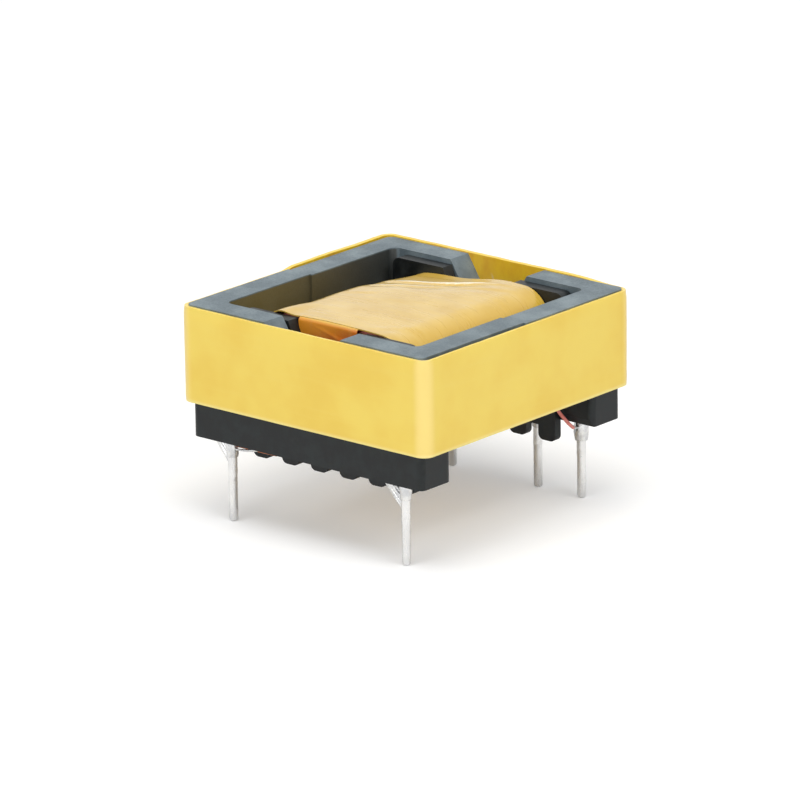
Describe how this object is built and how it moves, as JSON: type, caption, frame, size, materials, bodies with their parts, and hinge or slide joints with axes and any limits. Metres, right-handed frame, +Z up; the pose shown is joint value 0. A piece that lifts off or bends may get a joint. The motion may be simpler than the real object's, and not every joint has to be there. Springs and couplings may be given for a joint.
{
  "type": "pcb transformer",
  "caption": "Low through-hole transformer: taped ferrite core round a taped winding on a black bobbin with terminal rails, standoff posts and tinned pins.",
  "frame": {"origin": "centre of the pin pattern, on the plane where the standoff posts meet the board", "axes": "+X along the pin rows, +Y from the row with end pins only towards the fuller row, +Z up out of the board"},
  "size_m": [0.0212, 0.0212, 0.0148],
  "materials": {
    "ferrite": "matt, finely pitted, dark grey",
    "core_tape": "thin polyester tape, satin, yellow",
    "bobbin": "moulded phenolic, black, faintly mottled",
    "pin": "bright tin plating",
    "copper_wire": "enamelled copper, glossy",
    "winding_tape": "thin polyester film, glossy, yellow, lightly wrinkled",
    "insulated_wire": "triple insulated wire, pink",
    "tape_tail": "doubled polyester film, amber, glossy",
    "solder": "solder, bright, uneven"
  },
  "bodies": {
    "root": {"core_half_front": "ferrite", "core_half_back": "ferrite", "core_tape": "core_tape", "bobbin": "bobbin", "pin_front_left": "pin", "pin_front_right": "pin", "pin_back_1": "pin", "pin_back_2": "pin", "pin_back_3": "pin", "pin_back_4": "pin", "primary_winding": "copper_wire", "primary_tape": "winding_tape", "auxiliary_winding": "copper_wire", "auxiliary_tape": "winding_tape", "secondary_winding": "insulated_wire", "outer_winding_tape": "winding_tape", "tape_tail": "tape_tail", "solder_front_left": "solder", "solder_front_right": "solder", "solder_back_1": "solder", "solder_back_2": "solder", "solder_back_3": "solder", "solder_back_4": "solder"}
  },
  "joints": []
}
